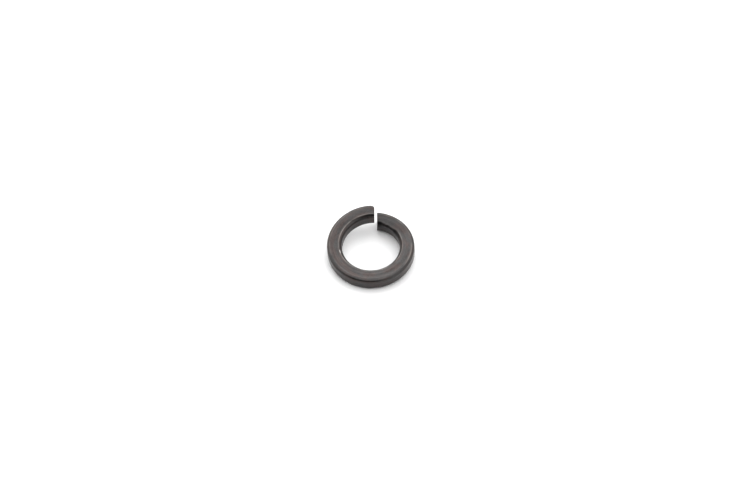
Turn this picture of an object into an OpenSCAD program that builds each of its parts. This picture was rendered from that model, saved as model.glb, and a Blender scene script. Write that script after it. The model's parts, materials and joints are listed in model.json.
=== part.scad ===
// Spring lock washer for an 8 mm screw with a right-hand thread.
// One piece of keystone spring wire, coiled for one turn, cut through and sprung apart,
// so that the coil is a short left-hand helix. The bore is along Z, and the slot is on the +Y side.
// The end on the -X side of the slot stands high, and the one on the +X side stands low.
// Lengths are in millimetres, and angles in degrees.

/* [Coil] */
// Diameter of the hole that the screw passes through
bore_d = 8.2; // [7:0.1:9.9]
// Diameter over the rim
outer_d = 12.5; // [10.4:0.1:15]
// Height that the wire gains over one full turn
lead = 1.97; // [1.2:0.01:2.4]
// Part of that height which is moved from the back of the coil to its two ends, 0 for an even helix
end_lift = 0.47; // [0:0.01:0.6]

/* [Wire section] */
// Height of the wire at the bore, taken to the sharp corner
bore_height = 2.44; // [2:0.01:2.9]
// Height of the wire at the rim, taken to the sharp corner
rim_height = 1.95; // [1.6:0.01:2.4]
// Radius of the rounding between the bore wall and the faces
bore_edge_r = 0.88; // [0.2:0.01:1.1]
// Angle that this rounding turns through before the face cuts it off in a crisp edge
bore_edge_sweep = 58; // [35:1:75]
// Radius of the rounding between the rim and the faces
rim_edge_r = 0.43; // [0.1:0.01:0.6]

/* [Slot] */
// Width of the cut between the two ends
slot_w = 0.38; // [0.2:0.01:1.2]
// Distance from the bore axis to the middle of the cut, half way up the coil
slot_offset = 0.69; // [0:0.01:1.6]
// Angle between the cut and Y, clockwise seen from above
slot_turn = 4; // [-10:0.5:10]
// Angle between the cut and Z, so that the cut leans towards +X as it rises
slot_lean = 2.5; // [-8:0.5:8]

/* [Quality] */
// Number of steps round the coil
coil_steps = 100; // [60:4:120]
// Number of steps round each edge
edge_steps = 5; // [4:1:6]

/* [Hidden] */

bore_r = bore_d / 2;
rim_r = outer_d / 2;
wire_width = rim_r - bore_r;

// The two faces lean towards the rim, because the wire is thicker at the bore.
face_lean = atan((bore_height - rim_height) / 2 / wire_width);
function face_z(r) = bore_height / 2 - (r - bore_r) * tan(face_lean);

// Each rounding is tangent to its wall, and takes at most this share of half the wire's height or width.
edge_share = 0.8;
bore_edge = min(
    bore_edge_r,
    edge_share * bore_height / 2 / sin(bore_edge_sweep),
    edge_share * wire_width / 2 / (1 - cos(bore_edge_sweep))
);
rim_edge = min(rim_edge_r, edge_share * min(rim_height, wire_width) / 2);
rim_edge_sweep = 90 - face_lean;

// Half the height of the plain wall that is left between the two roundings.
bore_land = face_z(bore_r + bore_edge * (1 - cos(bore_edge_sweep))) - bore_edge * sin(bore_edge_sweep);
rim_land = face_z(rim_r - rim_edge * (1 - cos(rim_edge_sweep))) - rim_edge * sin(rim_edge_sweep);

// The walls are drawn as low ridges that carry on the first step of each rounding,
// and true cylinders trim them back to the bore and the rim.
bore_ridge = bore_land * tan(bore_edge_sweep / edge_steps / 2);
rim_ridge = rim_land * tan(rim_edge_sweep / edge_steps / 2);

// Upper half of the section as [radius, height] points, from the bore wall to the rim.
function bore_rounding() = [
    for (i = [1:edge_steps])
        let (a = bore_edge_sweep * i / edge_steps)
        [bore_r + bore_edge * (1 - cos(a)), bore_land + bore_edge * sin(a)]
];
function rim_rounding() = [
    for (i = [edge_steps:-1:1])
        let (a = rim_edge_sweep * i / edge_steps)
        [rim_r - rim_edge * (1 - cos(a)), rim_land + rim_edge * sin(a)]
];
upper_half = concat(bore_rounding(), rim_rounding());
lower_half = [
    for (i = [len(upper_half) - 1:-1:0])
        [upper_half[i].x, -upper_half[i].y]
];
section = concat(
    [[bore_r - bore_ridge, 0]],
    upper_half,
    [[rim_r + rim_ridge, 0]],
    lower_half
);

// Height of the wire's centre line above its mean, at an angle along the coil.
// Angles are clockwise from +Y, seen from above.
function climb(a) =
    let (u = a / 180 - 1)
    lead / 2 * u + end_lift * (pow(u, 3) - u);

// Angle at which a point of the section meets a flat end face. The face leans, so that the angle depends
// on the point's height, and the height on the angle: a few rounds settle both.
face_rounds = 5;
function end_angle(p, offset, turn, rounds = face_rounds) =
    let (height = rounds == 0 ? 0 : p.y + climb(end_angle(p, offset, turn, rounds - 1)))
    turn + slot_turn + asin((offset + height * tan(slot_lean)) / p.x);
function low_end(p) = end_angle(p, slot_offset + slot_w / 2, 0);
function high_end(p) = end_angle(p, slot_offset - slot_w / 2, 360);

// The low end's bottom edge stands at Z = 0.
base_z = -min([for (p = section) p.y + climb(low_end(p))]);

// One point of the section, carried a share of the way along the coil.
function coil_point(p, share) =
    let (a = low_end(p) + (high_end(p) - low_end(p)) * share)
    [p.x * sin(a), p.x * cos(a), p.y + climb(a) + base_z];

// Overall height, from the low end's bottom edge to the high end's top edge.
free_height = max([for (p = section) coil_point(p, 1).z]);

module coil() {
    count = len(section);
    points = [
        for (i = [0:coil_steps], p = section)
            coil_point(p, i / coil_steps)
    ];
    sides = [
        for (i = [0:coil_steps - 1], j = [0:count - 1])
            let (k = (j + 1) % count)
            [i * count + j, i * count + k, (i + 1) * count + k, (i + 1) * count + j]
    ];
    low_face = [for (j = [count - 1:-1:0]) j];
    high_face = [for (j = [0:count - 1]) coil_steps * count + j];
    polyhedron(points, concat([low_face], sides, [high_face]), convexity = 4);
}

module lock_washer() {
    margin = 1;
    color([0.22, 0.2, 0.2])
    difference() {
        intersection() {
            coil();
            translate([0, 0, -margin])
                cylinder(h = free_height + 2 * margin, r = rim_r, $fn = 180);
        }
        translate([0, 0, -2 * margin])
            cylinder(h = free_height + 4 * margin, r = bore_r, $fn = 180);
    }
}

lock_washer();
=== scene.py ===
"""Builds the looks of a split spring lock washer around its fixed frame.

The washer is one turn of black finished spring wire. The wire is modelled straight, as it is drawn, and is
then coiled, which is how the real washer is made.
Every length is in metres. In wire coordinates X runs along the wire from the low end to the high end,
Y is the distance from the bore axis, and Z is the height above the middle of the wire.
"""

import json
import math

import bmesh
import bpy
from bpy.props import FloatProperty, FloatVectorProperty, IntProperty, PointerProperty
from bpy.types import Operator, Panel, PropertyGroup
from mathutils import Matrix, Vector, noise


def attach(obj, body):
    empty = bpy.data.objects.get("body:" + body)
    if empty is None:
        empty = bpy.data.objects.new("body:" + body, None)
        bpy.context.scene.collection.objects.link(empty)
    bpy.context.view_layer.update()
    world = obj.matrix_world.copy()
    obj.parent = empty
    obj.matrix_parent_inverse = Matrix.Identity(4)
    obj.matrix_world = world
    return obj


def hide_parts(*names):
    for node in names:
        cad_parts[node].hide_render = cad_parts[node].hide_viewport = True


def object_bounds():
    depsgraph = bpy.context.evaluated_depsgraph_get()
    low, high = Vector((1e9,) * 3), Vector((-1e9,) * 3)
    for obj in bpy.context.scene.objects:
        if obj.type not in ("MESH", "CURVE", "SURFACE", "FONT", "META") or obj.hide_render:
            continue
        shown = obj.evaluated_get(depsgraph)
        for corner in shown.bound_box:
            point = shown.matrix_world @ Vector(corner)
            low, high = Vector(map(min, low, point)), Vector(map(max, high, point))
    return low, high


bl_info = {
    "name": "Spring Lock Washer",
    "version": (1, 0, 0),
    "blender": (4, 5, 0),
    "location": "3D View > Sidebar > Washer",
    "description": "Builds a split spring lock washer in black finished steel, with its table and lights",
    "category": "Add Mesh",
}

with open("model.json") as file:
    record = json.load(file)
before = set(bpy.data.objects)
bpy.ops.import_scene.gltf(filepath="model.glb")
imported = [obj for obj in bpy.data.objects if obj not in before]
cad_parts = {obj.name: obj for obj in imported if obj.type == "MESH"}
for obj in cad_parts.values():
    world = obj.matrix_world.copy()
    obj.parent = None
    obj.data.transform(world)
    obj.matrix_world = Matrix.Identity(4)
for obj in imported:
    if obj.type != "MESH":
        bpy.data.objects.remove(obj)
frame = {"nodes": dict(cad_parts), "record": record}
CAD_LOW, CAD_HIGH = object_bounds()
NODE = "lock_washer"
MM = 0.001
BORE = next(mount for mount in frame["record"]["mounts"] if mount["kind"] == "bore")

# Points closer than this are one point.
SAME_PLACE = 1e-7
# Rounds that settle where a leaning end face meets the coil.
END_ROUNDS = 6
# How finely the mesh divides the section's two roundings, its faces and its walls, and the nick.
BORE_EDGE_STEPS = 12
RIM_EDGE_STEPS = 10
FACE_CUTS = 15
WALL_CUTS = 3
NICK_CUTS = 2
BEVEL_STEPS = 3
# How much the rim swells at the low end, as a share of its pull at the high end.
LOW_END_SWELL = 0.7
# The direction that the nick is pushed in: outwards and down from the bore edge.
NICK_PUSH = (0, 0.6, -0.8)
# A face of the hull that points down this steeply is one that the washer could rest on.
FACES_DOWN = -0.9
TABLE_HALF_SIDE = 3.0
TABLE_GAP = 0.01 * MM
SENSOR_WIDTH = 36.0


# ---------------------------------------------------------------- sizes and colours


class WasherWire(PropertyGroup):
    """Sizes of the wire's section."""

    bore_radius: FloatProperty(
        name="Bore Radius",
        description="Distance from the bore axis to the wall of the hole",
        default=BORE["dims"]["r_mm"] * MM,
        subtype="DISTANCE",
        unit="LENGTH",
    )
    rim_radius: FloatProperty(
        name="Rim Radius",
        description="Distance from the bore axis to the rim",
        default=(CAD_HIGH.x - CAD_LOW.x) / 2,
        subtype="DISTANCE",
        unit="LENGTH",
    )
    bore_height: FloatProperty(
        name="Height at Bore",
        description="Height of the wire at the bore, taken to the sharp corner",
        default=2.44 * MM,
        subtype="DISTANCE",
        unit="LENGTH",
    )
    rim_height: FloatProperty(
        name="Height at Rim",
        description="Height of the wire at the rim, taken to the sharp corner",
        default=1.95 * MM,
        subtype="DISTANCE",
        unit="LENGTH",
    )
    bore_edge: FloatProperty(
        name="Bore Edge Radius",
        description="Radius of the rounding between the bore wall and the faces",
        default=0.88 * MM,
        subtype="DISTANCE",
        unit="LENGTH",
    )
    bore_sweep: FloatProperty(
        name="Bore Edge Sweep",
        description="Angle that this rounding turns through before the face cuts it off",
        default=math.radians(58),
        subtype="ANGLE",
        unit="ROTATION",
    )
    rim_edge: FloatProperty(
        name="Rim Edge Radius",
        description="Radius of the rounding between the rim and the faces",
        default=0.43 * MM,
        subtype="DISTANCE",
        unit="LENGTH",
    )
    crisp_edge: FloatProperty(
        name="Crisp Edge",
        description="Width of the small flat on the edge between a face and the bore rounding",
        default=0.05 * MM,
        subtype="DISTANCE",
        unit="LENGTH",
    )


class WasherCoil(PropertyGroup):
    """Sizes of the coil and of the cut between its ends."""

    lead: FloatProperty(
        name="Lead",
        description="Height that the wire gains over one full turn",
        default=1.97 * MM,
        subtype="DISTANCE",
        unit="LENGTH",
    )
    end_lift: FloatProperty(
        name="End Lift",
        description="Part of the lead that is moved from the back of the coil to its two ends",
        default=0.47 * MM,
        subtype="DISTANCE",
        unit="LENGTH",
    )
    slot_width: FloatProperty(
        name="Slot Width",
        description="Width of the cut between the two ends",
        default=0.38 * MM,
        subtype="DISTANCE",
        unit="LENGTH",
    )
    slot_offset: FloatProperty(
        name="Slot Offset",
        description="Distance from the bore axis to the middle of the cut, half way up the coil",
        default=0.69 * MM,
        subtype="DISTANCE",
        unit="LENGTH",
    )
    slot_turn: FloatProperty(
        name="Slot Turn",
        description="Angle between the cut and Y, clockwise seen from above",
        default=math.radians(4),
        subtype="ANGLE",
        unit="ROTATION",
    )
    slot_lean: FloatProperty(
        name="Slot Lean",
        description="Angle between the cut and Z, so that the cut leans towards +X as it rises",
        default=math.radians(2.5),
        subtype="ANGLE",
        unit="ROTATION",
    )
    end_edge: FloatProperty(
        name="End Edge",
        description="Width of the broken edge round each cut end",
        default=0.035 * MM,
        subtype="DISTANCE",
        unit="LENGTH",
    )
    corner_roll: FloatProperty(
        name="Corner Roll",
        description="Radius of the outer corner that the shear has drawn in at the high end",
        default=0.52 * MM,
        subtype="DISTANCE",
        unit="LENGTH",
    )
    rim_pull: FloatProperty(
        name="Rim Pull",
        description="How far the shear has drawn the rim in towards the bore at the high end",
        default=0.055 * MM,
        subtype="DISTANCE",
        unit="LENGTH",
    )
    bore_droop: FloatProperty(
        name="Bore Droop",
        description="How far the shear has bent the bore edge down at the low end",
        default=0.18 * MM,
        subtype="DISTANCE",
        unit="LENGTH",
    )
    pull_reach: FloatProperty(
        name="Pull Reach",
        description="Length of the wire that the shear has drawn or bent at each end",
        default=1.9 * MM,
        subtype="DISTANCE",
        unit="LENGTH",
    )
    tear: FloatProperty(
        name="Tear",
        description="Depth of the torn part of each sheared end",
        default=0.03 * MM,
        subtype="DISTANCE",
        unit="LENGTH",
    )
    end_grid: FloatProperty(
        name="End Grid",
        description="Spacing of the mesh on the end faces",
        default=0.06 * MM,
        subtype="DISTANCE",
        unit="LENGTH",
    )
    wobble: FloatProperty(
        name="Wobble",
        description="Depth of the slow dips in the drawn surface",
        default=0.016 * MM,
        subtype="DISTANCE",
        unit="LENGTH",
    )
    steps: IntProperty(
        name="Steps",
        description="Number of steps that the wire is bent in",
        default=500,
        min=60,
        max=600,
    )


class WasherDamage(PropertyGroup):
    """The nick in the upper face's bore edge, and the stretch where that edge is smeared into the bore."""

    nick_turn: FloatProperty(
        name="Nick Turn",
        description="Where the nick is, clockwise from +Y",
        default=math.radians(257.4),
        subtype="ANGLE",
        unit="ROTATION",
    )
    nick_size: FloatVectorProperty(
        name="Nick Size",
        description="Half the nick's size along the wire, outwards and upwards",
        default=(0.5 * MM, 0.095 * MM, 0.11 * MM),
        subtype="XYZ",
        unit="LENGTH",
    )
    nick_depth: FloatProperty(
        name="Nick Depth",
        description="Depth of the nick",
        default=0.05 * MM,
        subtype="DISTANCE",
        unit="LENGTH",
    )
    smear_turn: FloatProperty(
        name="Smear Turn",
        description="Where the middle of the smear is, clockwise from +Y",
        default=math.radians(40),
        subtype="ANGLE",
        unit="ROTATION",
    )
    smear_reach: FloatProperty(
        name="Smear Reach",
        description="Distance along the wire from the middle of the smear to its ends",
        default=2.0 * MM,
        subtype="DISTANCE",
        unit="LENGTH",
    )
    smear: FloatProperty(
        name="Smear",
        description="How far the edge is pushed into the bore",
        default=0.24 * MM,
        subtype="DISTANCE",
        unit="LENGTH",
    )


class WasherFinish(PropertyGroup):
    """Colours and gloss of the finish."""

    coating: FloatVectorProperty(
        name="Black Coating",
        description="Colour of the black finish",
        default=(0.0516, 0.0496, 0.0492),
        subtype="COLOR",
        min=0,
        max=1,
    )
    brown: FloatVectorProperty(
        name="Brown Coating",
        description="Colour of the patches where the black finish is tinged brown",
        default=(0.0586, 0.0489, 0.0468),
        subtype="COLOR",
        min=0,
        max=1,
    )
    worn: FloatVectorProperty(
        name="Worn Coating",
        description="Colour where the coating is rubbed thin on the edges",
        default=(0.150, 0.140, 0.132),
        subtype="COLOR",
        min=0,
        max=1,
    )
    bare: FloatVectorProperty(
        name="Bare Steel",
        description="Colour of the steel where the coating is chipped",
        default=(0.30, 0.29, 0.28),
        subtype="COLOR",
        min=0,
        max=1,
    )
    roughness: FloatProperty(
        name="Roughness",
        description="Roughness of the coating between the drawing lines",
        default=0.36,
        subtype="FACTOR",
        min=0,
        max=1,
    )
    relief: FloatProperty(
        name="Relief",
        description="Depth of the drawing lines",
        default=0.0025 * MM,
        subtype="DISTANCE",
        unit="LENGTH",
    )


class WasherStudio(PropertyGroup):
    """The camera, the white tent and the lamp."""

    elevation: FloatProperty(
        name="Camera Elevation",
        description="Angle of the view above the plane of the coil",
        default=math.radians(57.3),
        subtype="ANGLE",
        unit="ROTATION",
    )
    roll: FloatProperty(
        name="Camera Roll",
        description="Turn of the camera about its own line of sight",
        default=math.radians(4.6),
        subtype="ANGLE",
        unit="ROTATION",
    )
    distance: FloatProperty(
        name="Camera Distance",
        description="Distance from the camera to the middle of the coil",
        default=0.3573,
        subtype="DISTANCE",
        unit="LENGTH",
    )
    lens: FloatProperty(
        name="Focal Length",
        description="Focal length on a 36 mm wide sensor",
        default=122.0,
        subtype="DISTANCE_CAMERA",
        unit="CAMERA",
    )
    aim: FloatVectorProperty(
        name="Aim",
        description="How far right of the line of sight and above it the middle of the coil is",
        size=2,
        default=(0.27 * MM, -0.35 * MM),
        subtype="TRANSLATION",
        unit="LENGTH",
    )
    tent: FloatProperty(
        name="Tent",
        description="Brightness of the white tent round the table",
        default=1.7,
        subtype="FACTOR",
        min=0,
        max=4,
    )
    opening_turn: FloatProperty(
        name="Opening Turn",
        description="Direction of the middle of the tent's opening, clockwise from -Y",
        default=math.radians(24),
        subtype="ANGLE",
        unit="ROTATION",
    )
    opening_height: FloatProperty(
        name="Opening Height",
        description="Angle of the middle of the opening above the table",
        default=math.radians(6),
        subtype="ANGLE",
        unit="ROTATION",
    )
    opening_inner: FloatProperty(
        name="Opening Inner Angle",
        description="Angle from the middle of the opening to where it is no longer fully dark",
        default=math.radians(26),
        subtype="ANGLE",
        unit="ROTATION",
    )
    opening_outer: FloatProperty(
        name="Opening Outer Angle",
        description="Angle from the middle of the opening to where the tent is fully lit",
        default=math.radians(72),
        subtype="ANGLE",
        unit="ROTATION",
    )
    lamp_size: FloatProperty(
        name="Lamp Size",
        description="Side of the soft lamp over the tent",
        default=0.38,
        subtype="DISTANCE",
        unit="LENGTH",
    )
    lamp_distance: FloatProperty(
        name="Lamp Distance",
        description="Distance from the washer to the middle of the lamp",
        default=0.5,
        subtype="DISTANCE",
        unit="LENGTH",
    )
    lamp_lean: FloatProperty(
        name="Lamp Lean",
        description="Angle from straight overhead to the lamp, away from the camera",
        default=math.radians(23),
        subtype="ANGLE",
        unit="ROTATION",
    )
    lamp_turn: FloatProperty(
        name="Lamp Turn",
        description="Direction that the lamp leans in, clockwise from +Y",
        default=math.radians(2),
        subtype="ANGLE",
        unit="ROTATION",
    )
    lamp_power: FloatProperty(
        name="Lamp Power",
        description="Power of the lamp",
        default=0.75,
        subtype="POWER",
        unit="POWER",
    )


# ---------------------------------------------------------------- the wire and its coil


class Wire:
    """Everything that follows from the sizes: the section's points and the way the wire is coiled."""

    def __init__(self, section, coil, damage):
        self.section = section
        self.coil = coil
        self.damage = damage
        width = section.rim_radius - section.bore_radius
        self.lean = math.atan((section.bore_height - section.rim_height) / 2 / width)
        self.rim_sweep = math.pi / 2 - self.lean
        bore_reach = section.bore_edge * (1 - math.cos(section.bore_sweep))
        rim_reach = section.rim_edge * (1 - math.cos(self.rim_sweep))
        self.bore_corner = section.bore_radius + bore_reach
        self.rim_corner = section.rim_radius - rim_reach
        corner_height = self.face_height(self.bore_corner)
        self.bore_land = corner_height - section.bore_edge * math.sin(section.bore_sweep)
        self.rim_land = self.face_height(self.rim_corner) - section.rim_edge * math.sin(self.rim_sweep)
        self.middle = (section.bore_radius + section.rim_radius) / 2
        low, high = self.ends(self.middle, 0)
        self.length = self.middle * (high - low)
        low, _ = self.ends(self.bore_corner, -corner_height)
        self.base = corner_height - self.climb(low)
        self.nick_centre = self.edge_point(damage.nick_turn)
        self.smear_centre = self.edge_point(damage.smear_turn)

    def face_height(self, radius):
        """Height of the upper face over the wire's middle. The face leans towards the rim."""
        return self.section.bore_height / 2 - (radius - self.section.bore_radius) * math.tan(self.lean)

    def end_angle(self, out, up, offset, turn):
        """Angle at which a point of the section meets an end face, clockwise from +Y.
        The face leans, so that the angle depends on the point's height: a few rounds settle both."""
        height = 0
        for _ in range(END_ROUNDS):
            reach = (offset + height * math.tan(self.coil.slot_lean)) / out
            angle = turn + self.coil.slot_turn + math.asin(reach)
            height = up + self.climb(angle)
        return angle

    def ends(self, out, up):
        """Angles of the low end and the high end for a point of the section."""
        half = self.coil.slot_width / 2
        low = self.end_angle(out, up, self.coil.slot_offset + half, 0)
        high = self.end_angle(out, up, self.coil.slot_offset - half, math.tau)
        return low, high

    def edge_point(self, angle):
        """The point of the straight wire's bore edge that ends up at an angle on the coil."""
        out, up = self.bore_corner, self.face_height(self.bore_corner)
        low, high = self.ends(out, up)
        return Vector((self.length * (angle - low) / (high - low), out, up))

    def climb(self, angle):
        """Height of the wire's middle over its mean, at an angle along the coil."""
        u = angle / math.pi - 1
        return self.coil.lead / 2 * u + self.coil.end_lift * (u**3 - u)

    def nick_reach(self, point):
        """0 at the middle of the nick and 1 at its border."""
        off = point - self.nick_centre
        return sum((off[axis] / self.damage.nick_size[axis]) ** 2 for axis in range(3))

    def coiled(self, point):
        """The place on the coil of a point of the straight wire."""
        low, high = self.ends(point.y, point.z)
        angle = low + (high - low) * point.x / self.length
        height = point.z + self.climb(angle) + self.base
        return Vector((point.y * math.sin(angle), point.y * math.cos(angle), height))


def only_verts(geom):
    """The vertices among what a mesh operator returned."""
    return [item for item in geom if isinstance(item, bmesh.types.BMVert)]


def rounding(bm, start, centre, angle, steps):
    """Sweeps a point round a centre in the section's plane. Returns the arc's first and last points."""
    first = bm.verts.new(start)
    swept = bmesh.ops.spin(
        bm,
        geom=[first],
        cent=centre,
        axis=(1, 0, 0),
        angle=angle,
        steps=steps,
        use_duplicate=False,
    )
    return first, only_verts(swept["geom_last"])[0]


def draw_section(bm, wire):
    """Draws the wire's section at X = 0 as one face: a leaning face and two roundings, mirrored below."""
    section = wire.section
    bore_wall, bore_corner = rounding(
        bm,
        (0, section.bore_radius, wire.bore_land),
        (0, section.bore_radius + section.bore_edge, wire.bore_land),
        -section.bore_sweep,
        BORE_EDGE_STEPS,
    )
    rim_wall, rim_corner = rounding(
        bm,
        (0, section.rim_radius, wire.rim_land),
        (0, section.rim_radius - section.rim_edge, wire.rim_land),
        wire.rim_sweep,
        RIM_EDGE_STEPS,
    )
    bore_middle = bm.verts.new((0, section.bore_radius, 0))
    rim_middle = bm.verts.new((0, section.rim_radius, 0))
    face_edge = bm.edges.new((bore_corner, rim_corner))
    wall_edges = [bm.edges.new((bore_middle, bore_wall)), bm.edges.new((rim_middle, rim_wall))]
    bmesh.ops.subdivide_edges(bm, edges=[face_edge], cuts=FACE_CUTS)
    bmesh.ops.subdivide_edges(bm, edges=wall_edges, cuts=WALL_CUTS)
    half = bm.verts[:] + bm.edges[:]
    bmesh.ops.mirror(bm, geom=half, axis="Z", matrix=Matrix.Identity(4), merge_dist=SAME_PLACE)
    bmesh.ops.remove_doubles(bm, verts=bm.verts[:], dist=SAME_PLACE)
    bmesh.ops.contextual_create(bm, geom=bm.edges[:])
    corners = [v for v in bm.verts if is_corner(v, wire)]
    bmesh.ops.bevel(
        bm,
        geom=corners,
        offset=section.crisp_edge,
        offset_type="OFFSET",
        affect="VERTICES",
        segments=BEVEL_STEPS,
        profile=0.5,
        material=-1,
    )


def is_corner(vert, wire):
    """Whether a vertex of the section is where a face meets the bore rounding."""
    off = Vector((vert.co.y - wire.bore_corner, abs(vert.co.z) - wire.face_height(wire.bore_corner)))
    return off.length < SAME_PLACE


def draw_wire(bm, wire):
    """Extrudes the section to the wire's length, breaks its ends' edges and cuts it into steps."""
    drawn = bmesh.ops.extrude_face_region(bm, geom=bm.faces[:])
    bmesh.ops.translate(bm, verts=only_verts(drawn["geom"]), vec=(wire.length, 0, 0))
    bmesh.ops.recalc_face_normals(bm, faces=bm.faces[:])
    end_edges = [e for e in bm.edges if abs(e.verts[0].co.x - e.verts[1].co.x) < wire.length / 2]
    bmesh.ops.bevel(
        bm,
        geom=end_edges,
        offset=wire.coil.end_edge,
        offset_type="OFFSET",
        affect="EDGES",
        segments=BEVEL_STEPS,
        profile=0.5,
        clamp_overlap=True,
        material=-1,
    )
    long_edges = [e for e in bm.edges if e.calc_length() > wire.length / 2]
    bmesh.ops.subdivide_edges(bm, edges=long_edges, cuts=wire.coil.steps, use_grid_fill=True)
    mark_ends(bm, wire)
    refine_nick(bm, wire)


def cut_into_grid(bm, face, spacing):
    """Cuts a flat face into a grid inside a narrow border, and returns the grid's vertices."""
    bmesh.ops.inset_individual(bm, faces=[face], thickness=spacing / 2)
    axes = (Vector((0, 1, 0)), Vector((0, 0, 1)))
    spans = [(axis, [v.co.dot(axis) for v in face.verts]) for axis in axes]
    grid = [face, *face.edges, *face.verts]
    for axis, reach in spans:
        start, stop = min(reach), max(reach)
        strips = round((stop - start) / spacing)
        for strip in range(1, strips):
            at = axis * (start + (stop - start) * strip / strips)
            grid = bmesh.ops.bisect_plane(bm, geom=grid, plane_co=at, plane_no=axis, dist=1e-8)["geom"]
    return only_verts(grid)


def mark_ends(bm, wire):
    """Gives both end faces a grid, and marks its points as sheared."""
    sheared = bm.verts.layers.float.new("sheared")
    ends = [f for f in bm.faces if abs(f.normal.x) > 0.999 and f.calc_area() > wire.section.rim_edge**2]
    for end in ends:
        for vert in cut_into_grid(bm, end, wire.coil.end_grid):
            vert[sheared] = 1.0


def refine_nick(bm, wire):
    """Divides the mesh round the nick more finely."""
    near = [e for e in bm.edges if all(wire.nick_reach(v.co) < 2 for v in e.verts)]
    bmesh.ops.subdivide_edges(bm, edges=near, cuts=NICK_CUTS, use_grid_fill=True)


def fade(value, start, end):
    """0 at start and 1 at end, with a soft change between them."""
    share = min(max((value - start) / (end - start), 0), 1)
    return share * share * (3 - 2 * share)


def pulled(point, wire):
    """Shapes the ends as the shear does. Near the high end the rim is drawn in.
    Near the low end the rim swells a little, and the upper bore edge bends down."""
    reach = wire.coil.pull_reach
    by_high_end = fade(point.x, wire.length - reach, wire.length)
    by_low_end = fade(point.x, reach, 0)
    outer = (point.y - wire.section.bore_radius) / (wire.section.rim_radius - wire.section.bore_radius)
    inner = max(1 - 2 * outer, 0)
    out = wire.coil.rim_pull * outer * (LOW_END_SWELL * by_low_end - by_high_end)
    down = wire.coil.bore_droop * inner**2 * by_low_end * fade(point.z, 0, wire.bore_land)
    return point + Vector((0, out, -down))


def rolled_in(point, wire):
    """Draws the rim in to a quarter round at the high end, and the wire's outer half with it."""
    roll = wire.coil.corner_roll
    into = max(point.x - (wire.length - roll), 0)
    drop = roll - math.sqrt(max(roll**2 - into**2, 0))
    return point - Vector((0, drop * fade(point.y, wire.middle, wire.section.rim_radius), 0))


def torn(point, wire):
    """Sinks the lower part of an end face, where the shear tore the wire instead of cutting it."""
    boundary = 0.2 * MM * noise.noise(Vector((0, point.y, 0)) * 2500)
    below = min(max((boundary - point.z) / (0.3 * MM), 0), 1)
    ragged = 0.7 + 0.5 * noise.noise(point * 6000) + 0.3 * noise.noise(point * 15000)
    depth = wire.coil.tear * below * ragged
    return point + Vector((depth if point.x < wire.length / 2 else -depth, 0, 0))


def wobbled(point, wire):
    """Lets the surface dip a little towards the wire's middle, in slow waves."""
    wave = noise.noise(Vector((point.x * 520, point.y * 900, point.z * 900)))
    inwards = Vector((0, wire.middle - point.y, -point.z))
    return point + inwards.normalized() * wire.coil.wobble * (0.5 + 0.5 * wave)


def nicked(point, wire):
    """Pushes the surface in at the nick."""
    inside = 1 - min(wire.nick_reach(point), 1)
    return point + Vector(NICK_PUSH) * wire.damage.nick_depth * inside**2


def smeared(point, wire):
    """Pushes the upper bore edge into the bore by uneven steps, down the slope of the face."""
    centre = wire.smear_centre
    place = Vector((point.x, 0, 0))
    ragged = 0.85 + 0.4 * noise.noise(place * 2100) + 0.15 * noise.noise(place * 5200)
    beside = fade(abs(point.x - centre.x), wire.damage.smear_reach, 0.4 * wire.damage.smear_reach)
    above = fade(point.z, wire.bore_land, centre.z)
    inside = fade(point.y, wire.middle, centre.y)
    push = wire.damage.smear * ragged * beside * above * inside
    return point + Vector((0, -push, push * math.tan(wire.lean)))


def coil_wire(bm, wire):
    """Notes where each point lies in the straight wire, works the surface and coils the wire."""
    place = bm.verts.layers.float_vector.new("wire")
    sheared = bm.verts.layers.float["sheared"]
    for vert in bm.verts:
        vert[place] = vert.co
        point = smeared(nicked(wobbled(vert.co, wire), wire), wire)
        if vert[sheared]:
            point = torn(point, wire)
        vert.co = wire.coiled(pulled(rolled_in(point, wire), wire))
    bmesh.ops.recalc_face_normals(bm, faces=bm.faces[:])


def new_piece(name, bm):
    """A finished mesh as a smooth object at the origin."""
    mesh = bpy.data.meshes.new(name)
    bm.to_mesh(mesh)
    bm.free()
    mesh.shade_smooth()
    piece = bpy.data.objects.new(name, mesh)
    bpy.context.scene.collection.objects.link(piece)
    return piece


# ---------------------------------------------------------------- shader maths


class Socket:
    """A shader node's output. Operators on it add Math nodes."""

    def __init__(self, shading, output):
        self.shading = shading
        self.output = output

    def math(self, operation, *values):
        """A Math node on sockets and plain numbers."""
        return self.shading.add("ShaderNodeMath", {"operation": operation}, dict(enumerate(values)))

    def __add__(self, other):
        return self.math("ADD", self, other)

    def __sub__(self, other):
        return self.math("SUBTRACT", self, other)

    def __mul__(self, other):
        return self.math("MULTIPLY", self, other)

    def __pow__(self, other):
        return self.math("POWER", self, other)

    def __radd__(self, other):
        return self.math("ADD", other, self)

    def __rsub__(self, other):
        return self.math("SUBTRACT", other, self)

    def __rmul__(self, other):
        return self.math("MULTIPLY", other, self)

    def __abs__(self):
        return self.math("ABSOLUTE", self)

    def ease(self, start, end):
        """0 at start and 1 at end, with a soft change between them."""
        return self.shading.add(
            "ShaderNodeMapRange",
            {"interpolation_type": "SMOOTHSTEP"},
            {"Value": self, "From Min": start, "From Max": end},
        )


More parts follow.
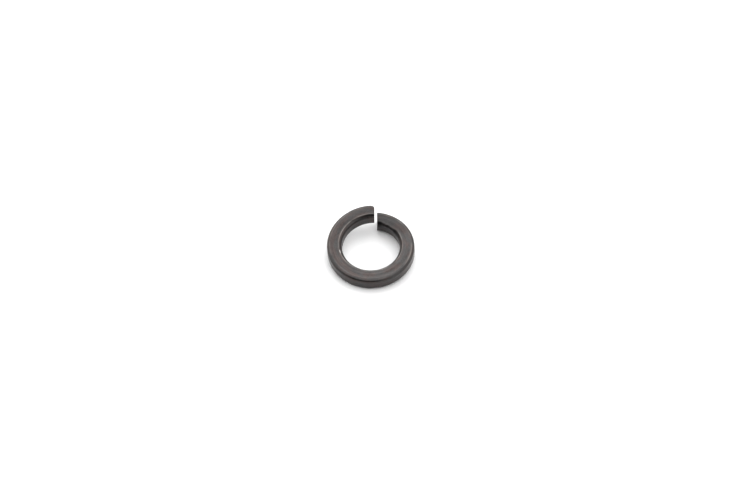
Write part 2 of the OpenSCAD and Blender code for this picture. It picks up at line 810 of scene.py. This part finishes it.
class Shading:
    """The node tree of a material or of the world."""

    def __init__(self, owner):
        owner.use_nodes = True
        self.tree = owner.node_tree
        self.tree.nodes.clear()

    def add(self, kind, settings=None, sockets=None, output=0):
        """Adds a node, sets its settings and then its sockets, and returns one of its outputs."""
        node = self.tree.nodes.new(kind)
        for name, value in (settings or {}).items():
            setattr(node, name, value)
        for key, value in (sockets or {}).items():
            if isinstance(value, Socket):
                self.tree.links.new(value.output, node.inputs[key])
            else:
                node.inputs[key].default_value = value
        return Socket(self, node.outputs[output]) if len(node.outputs) else None

    def attribute(self, name, output):
        """What the mesh says of itself at each point."""
        return self.add("ShaderNodeAttribute", {"attribute_name": name}, {}, output)

    def split(self, vector):
        """The three parts of a vector."""
        first = self.add("ShaderNodeSeparateXYZ", {}, {0: vector})
        return [Socket(self, output) for output in first.output.node.outputs]

    def noise(self, vector, factors, detail=2.0, roughness=0.5, shift=(0, 0, 0), turn=(0, 0, 0)):
        """Soft noise from 0 to 1, whose spots measure about 1 / factors."""
        sockets = {"Vector": vector, "Rotation": turn}
        turned = self.add("ShaderNodeMapping", {}, sockets) if any(turn) else vector
        settings = {"operation": "MULTIPLY_ADD"}
        moved = self.add("ShaderNodeVectorMath", settings, {0: turned, 1: factors, 2: shift})
        sockets = {"Vector": moved, "Scale": 1.0, "Detail": detail, "Roughness": roughness}
        return self.add("ShaderNodeTexNoise", {}, sockets)

    def blend(self, factor, first, second):
        """A colour between two, by a factor from 0 to 1."""
        settings = {"data_type": "RGBA"}
        return self.add("ShaderNodeMix", settings, {0: factor, 6: first, 7: second}, 2)

    def dimmed(self, colour, factor):
        """A colour times a number."""
        return self.add("ShaderNodeVectorMath", {"operation": "SCALE"}, {0: colour, "Scale": factor})


def rgba(colour):
    """A colour that hides what is behind it."""
    return (*colour, 1.0)


def edge_line(out, up, corner, height, width):
    """1 on a long edge of the wire, above and below its middle, falling to 0 at the given distance."""
    sideways = out - corner
    upwards = abs(up) - height
    away = (sideways * sideways + upwards * upwards) ** 0.5
    return 1 - away.ease(0.15 * width, width)


def black_steel(wire, finish):
    """Black finished spring steel: drawing lines along the wire, rubbed edges, a nick and sheared ends,
    with painted shade on the walls and under the smeared bore edge.
    """
    material = bpy.data.materials.new("black_spring_steel")
    s = Shading(material)
    place = s.attribute("wire", "Vector")
    along, out, up = s.split(place)
    sheared = s.attribute("sheared", "Fac")

    # Drawing lines follow the wire, in a broad set and a fine one. Tumbling left short slanting scuffs.
    broad = s.noise(place, (130, 4200, 4200), 2.0, 0.6)
    fine = s.noise(place, (420, 21000, 21000), 3.0, 0.65, (3.1, 7.7, 1.3))
    rising = s.noise(place, (700, 7500, 7500), 1.0, 0.5, (8.0, 2.0, 9.0), (0, 0, math.radians(38)))
    falling = s.noise(place, (700, 7500, 7500), 1.0, 0.5, (1.0, 6.0, 4.0), (0, 0, math.radians(-47)))
    scuffs = rising + falling
    patches = s.noise(place, (520, 900, 900), 3.0, 0.55, (11.0, 4.0, 6.0))
    tinge = s.noise(place, (520, 1500, 1500), 3.0, 0.55, (5.0, 14.0, 2.0)).ease(0.42, 0.6)
    grain = s.noise(place, (30000, 30000, 30000), 2.0, 0.6)

    # Each end is cut clean above and torn below.
    boundary = s.noise(place, (0, 2500, 0), 1.0)
    is_torn = sheared * (1 - (up + (boundary - 0.5) * 0.4 * MM).ease(-0.1 * MM, 0.05 * MM))
    is_cut = sheared - is_torn
    cut_lines = s.noise(place, (0, 16000, 900), 3.0, 0.6)
    tears = s.noise(place, (0, 9000, 7000), 4.0, 0.65)

    # The faces' long edges are rubbed, more in some stretches than in others: the bore edge least by the
    # low end, and the rim edge least at the back of the coil.
    bore_height = wire.face_height(wire.bore_corner)
    rim_height = wire.face_height(wire.rim_corner)
    bore_wear = s.noise(place, (330, 0, 0), 2.0, 0.6, (0.0, 2.0, 5.0)).ease(0.3, 0.65)
    rim_wear = s.noise(place, (260, 0, 0), 2.0, 0.6, (4.0, 1.0, 3.0)).ease(0.35, 0.65)
    by_low_end = along.ease(2.0 * MM, 6.0 * MM)
    bore_line = edge_line(out, up, wire.bore_corner, bore_height, 0.13 * MM) * bore_wear * by_low_end
    rim_line = edge_line(out, up, wire.rim_corner, rim_height, 0.16 * MM) * rim_wear
    at_back = 1 - abs(along - wire.length / 2).ease(4.5 * MM, 7.5 * MM)
    rubbed = bore_line * 0.8 + rim_line * (1 - at_back) * 0.6

    # The nick shows bare steel.
    from_nick = s.add("ShaderNodeVectorMath", {"operation": "SUBTRACT"}, {0: place, 1: wire.nick_centre})
    spread = tuple(1 / size for size in wire.damage.nick_size)
    scaled = s.add("ShaderNodeVectorMath", {"operation": "MULTIPLY"}, {0: from_nick, 1: spread})
    reach = s.add("ShaderNodeVectorMath", {"operation": "LENGTH"}, {0: scaled}, "Value")
    bare = 1 - (reach + (grain - 0.5) * 0.5).ease(0.45, 0.95)

    # Painted shade: in the upper bore rounding and wall below the smeared edge, the coating is painted
    # much darker than elsewhere, as the shade under the pushed-in edge. Along the smear's whole stretch
    # the wire is also painted a little darker.
    smear_reach = wire.damage.smear_reach
    beside = abs(along - wire.smear_centre.x).ease(2.2 * smear_reach, 0.8 * smear_reach)
    below = out.ease(wire.bore_corner + 0.1 * MM, wire.bore_corner - 0.15 * MM) * up.ease(0, 0.6 * MM)
    smear_darkening_and_shade = beside * (0.16 + 0.4 * below)

    # Painted shade: the bore wall and the rim wall are painted a tenth darker than the faces.
    on_wall = 1 - abs(up).ease(0.6 * MM, 0.9 * MM)
    tone = 1 + (broad - 0.5) * 1.2 + (fine - 0.5) * 0.7 + (scuffs - 1) * 0.42 + (patches - 0.5) * 0.4
    tone = tone * (1 - 0.1 * on_wall) * (1 - smear_darkening_and_shade)
    tone = tone * (1 - 0.35 * is_torn) + 0.3 * (cut_lines - 0.5) * is_cut
    coating = s.dimmed(s.blend(tinge, rgba(finish.coating), rgba(finish.brown)), tone)
    colour = s.blend(rubbed, coating, rgba(finish.worn))
    colour = s.blend(bare, colour, rgba(finish.bare))

    rough = finish.roughness + (fine - 0.5) * 0.18 + (patches - 0.5) * 0.10 - rubbed * 0.08 + is_torn * 0.2
    smooth_height = fine * 0.6 + broad * 0.9 + scuffs * 0.5 + grain * 0.25
    height = smooth_height * (1 - sheared) + cut_lines * is_cut * 2 + tears * is_torn * 4
    bump = s.add("ShaderNodeBump", {}, {"Strength": 1.0, "Distance": finish.relief, "Height": height})
    surface = {"Base Color": colour, "Metallic": 1.0, "Roughness": rough, "Normal": bump}
    shader = s.add("ShaderNodeBsdfPrincipled", {}, surface)
    s.add("ShaderNodeOutputMaterial", {}, {"Surface": shader})
    return material


def plain_table():
    """A smooth pale table top. It can't be seen from below, so that it never hides the washer."""
    material = bpy.data.materials.new("pale_table")
    s = Shading(material)
    from_below = s.add("ShaderNodeNewGeometry", {}, {}, "Backfacing")
    surface = {"Base Color": (0.9, 0.9, 0.9, 1.0), "Roughness": 0.8, "Specular IOR Level": 0.2}
    shader = s.add("ShaderNodeBsdfPrincipled", {}, {**surface, "Alpha": 1 - from_below})
    s.add("ShaderNodeOutputMaterial", {}, {"Surface": shader})
    return material


# ---------------------------------------------------------------- the stage


def resting_plane(node):
    """The plane that the washer rests on: the face of its hull that its weight falls through.
    Returns a point on the plane and the plane's upward normal."""
    bm = bmesh.new()
    bm.from_mesh(node.data)
    bmesh.ops.remove_doubles(bm, verts=bm.verts[:], dist=SAME_PLACE)
    bmesh.ops.triangulate(bm, faces=bm.faces[:])
    weight, moment = 0.0, Vector()
    for face in bm.faces:
        a, b, c = (v.co for v in face.verts)
        part = a.dot(b.cross(c))
        weight += part
        moment += part * (a + b + c) / 4
    centre = moment / weight
    hull = bmesh.ops.convex_hull(bm, input=bm.verts[:])
    for face in hull["geom"]:
        if isinstance(face, bmesh.types.BMFace) and face.normal.z < FACES_DOWN:
            point = face.verts[0].co
            foot = centre - face.normal * (centre - point).dot(face.normal)
            if bmesh.geometry.intersect_face_point(face, foot):
                found = point.copy(), -face.normal
                bm.free()
                return found
    raise RuntimeError("no face of the hull lies under the washer's weight")


def build_table():
    """A wide table top just under the plane that the washer rests on. Returns the upward normal."""
    point, normal = resting_plane(frame["nodes"][NODE])
    turn = Vector((0, 0, 1)).rotation_difference(normal).to_matrix().to_4x4()
    bm = bmesh.new()
    bmesh.ops.create_grid(bm, x_segments=1, y_segments=1, size=TABLE_HALF_SIDE)
    place = Matrix.Translation(point - normal * TABLE_GAP) @ turn
    bmesh.ops.transform(bm, matrix=place, verts=bm.verts[:])
    table = new_piece("table", bm)
    table.data.materials.append(plain_table())
    return normal


def build_lamp(studio, up):
    """A soft lamp over the washer, leaning away from the camera."""
    lamp = bpy.data.lights.new("soft_lamp", "AREA")
    lamp.shape = "SQUARE"
    lamp.size = studio.lamp_size
    lamp.energy = studio.lamp_power
    holder = bpy.data.objects.new("soft_lamp", lamp)
    leaning = Matrix.Rotation(-studio.lamp_lean, 3, "X") @ up
    away = Matrix.Rotation(-studio.lamp_turn, 3, "Z") @ leaning
    turn = away.to_track_quat("Z", "Y").to_matrix().to_4x4()
    holder.matrix_world = Matrix.Translation(away * studio.lamp_distance) @ turn
    bpy.context.scene.collection.objects.link(holder)


def build_tent(studio):
    """A white tent of light round the table, with a soft edged opening low on the camera's side.
    The opening shows in the steel only: behind the washer the tent looks white all round."""
    world = bpy.data.worlds.new("tent")
    s = Shading(world)
    raised = Matrix.Rotation(-studio.opening_height, 3, "X") @ Vector((0, -1, 0))
    opening = Matrix.Rotation(-studio.opening_turn, 3, "Z") @ raised
    direction = s.add("ShaderNodeTexCoord", {}, {}, "Generated")
    sockets = {0: direction, 1: opening}
    towards = s.add("ShaderNodeVectorMath", {"operation": "DOT_PRODUCT"}, sockets, "Value")
    dark = towards.ease(math.cos(studio.opening_outer), math.cos(studio.opening_inner))
    reflected = 1 - s.add("ShaderNodeLightPath", {}, {}, "Is Camera Ray")
    strength = studio.tent * (1 - dark * reflected)
    light = s.add("ShaderNodeBackground", {}, {"Color": (1, 1, 1, 1), "Strength": strength})
    s.add("ShaderNodeOutputWorld", {}, {"Surface": light})
    bpy.context.scene.world = world


def build_camera(studio, wire):
    """The camera, placed from its angles and its distance to the middle of the coil."""
    camera = bpy.data.cameras.new("camera")
    camera.lens = studio.lens
    camera.sensor_width = SENSOR_WIDTH
    camera.clip_start, camera.clip_end = 0.01, 20.0
    turn = Matrix.Rotation(math.pi / 2 - studio.elevation, 3, "X") @ Matrix.Rotation(-studio.roll, 3, "Z")
    middle = Vector((0, 0, wire.base))
    seen = Vector((studio.aim[0], studio.aim[1], -studio.distance))
    holder = bpy.data.objects.new("camera", camera)
    holder.matrix_world = Matrix.Translation(middle - turn @ seen) @ turn.to_4x4()
    bpy.context.scene.collection.objects.link(holder)
    bpy.context.scene.camera = holder
    bpy.context.scene.view_settings.view_transform = "Standard"


# ---------------------------------------------------------------- operators and panel


class WASHER_OT_lock_washer(Operator):
    """Build the washer: draw the wire, cut it to length and coil it."""

    bl_idname = "washer.lock_washer"
    bl_label = "Build Lock Washer"

    def execute(self, context):
        scene = context.scene
        wire = Wire(scene.washer_wire, scene.washer_coil, scene.washer_damage)
        bm = bmesh.new()
        draw_section(bm, wire)
        draw_wire(bm, wire)
        coil_wire(bm, wire)
        piece = new_piece("coiled_wire", bm)
        piece.data.materials.append(black_steel(wire, scene.washer_finish))
        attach(piece, "root")
        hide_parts(NODE)
        return {"FINISHED"}


class WASHER_OT_stage(Operator):
    """Build the stage: the table that the washer rests on, the lamp and the camera."""

    bl_idname = "washer.stage"
    bl_label = "Build Stage"

    def execute(self, context):
        scene = context.scene
        up = build_table()
        build_lamp(scene.washer_studio, up)
        build_tent(scene.washer_studio)
        build_camera(scene.washer_studio, Wire(scene.washer_wire, scene.washer_coil, scene.washer_damage))
        return {"FINISHED"}


class WASHER_PT_panel(Panel):
    """Sizes, colours and buttons of the washer."""

    bl_idname = "WASHER_PT_panel"
    bl_label = "Spring Lock Washer"
    bl_space_type = "VIEW_3D"
    bl_region_type = "UI"
    bl_category = "Washer"

    def draw(self, context):
        scene = context.scene
        for title, group in (
            ("Wire", scene.washer_wire),
            ("Coil", scene.washer_coil),
            ("Damage", scene.washer_damage),
            ("Finish", scene.washer_finish),
            ("Studio", scene.washer_studio),
        ):
            box = self.layout.box()
            box.label(text=title)
            for name in group.bl_rna.properties.keys():
                if name not in ("rna_type", "name"):
                    box.prop(group, name)
        self.layout.operator(WASHER_OT_lock_washer.bl_idname)
        self.layout.operator(WASHER_OT_stage.bl_idname)


CLASSES = (
    WasherWire,
    WasherCoil,
    WasherDamage,
    WasherFinish,
    WasherStudio,
    WASHER_OT_lock_washer,
    WASHER_OT_stage,
    WASHER_PT_panel,
)


def register():
    for cls in CLASSES:
        bpy.utils.register_class(cls)
    bpy.types.Scene.washer_wire = PointerProperty(type=WasherWire)
    bpy.types.Scene.washer_coil = PointerProperty(type=WasherCoil)
    bpy.types.Scene.washer_damage = PointerProperty(type=WasherDamage)
    bpy.types.Scene.washer_finish = PointerProperty(type=WasherFinish)
    bpy.types.Scene.washer_studio = PointerProperty(type=WasherStudio)


def unregister():
    del bpy.types.Scene.washer_studio
    del bpy.types.Scene.washer_finish
    del bpy.types.Scene.washer_damage
    del bpy.types.Scene.washer_coil
    del bpy.types.Scene.washer_wire
    for cls in reversed(CLASSES):
        bpy.utils.unregister_class(cls)


def main():
    register()
    bpy.ops.washer.lock_washer()
    bpy.ops.washer.stage()


if __name__ == "__main__":
    main()
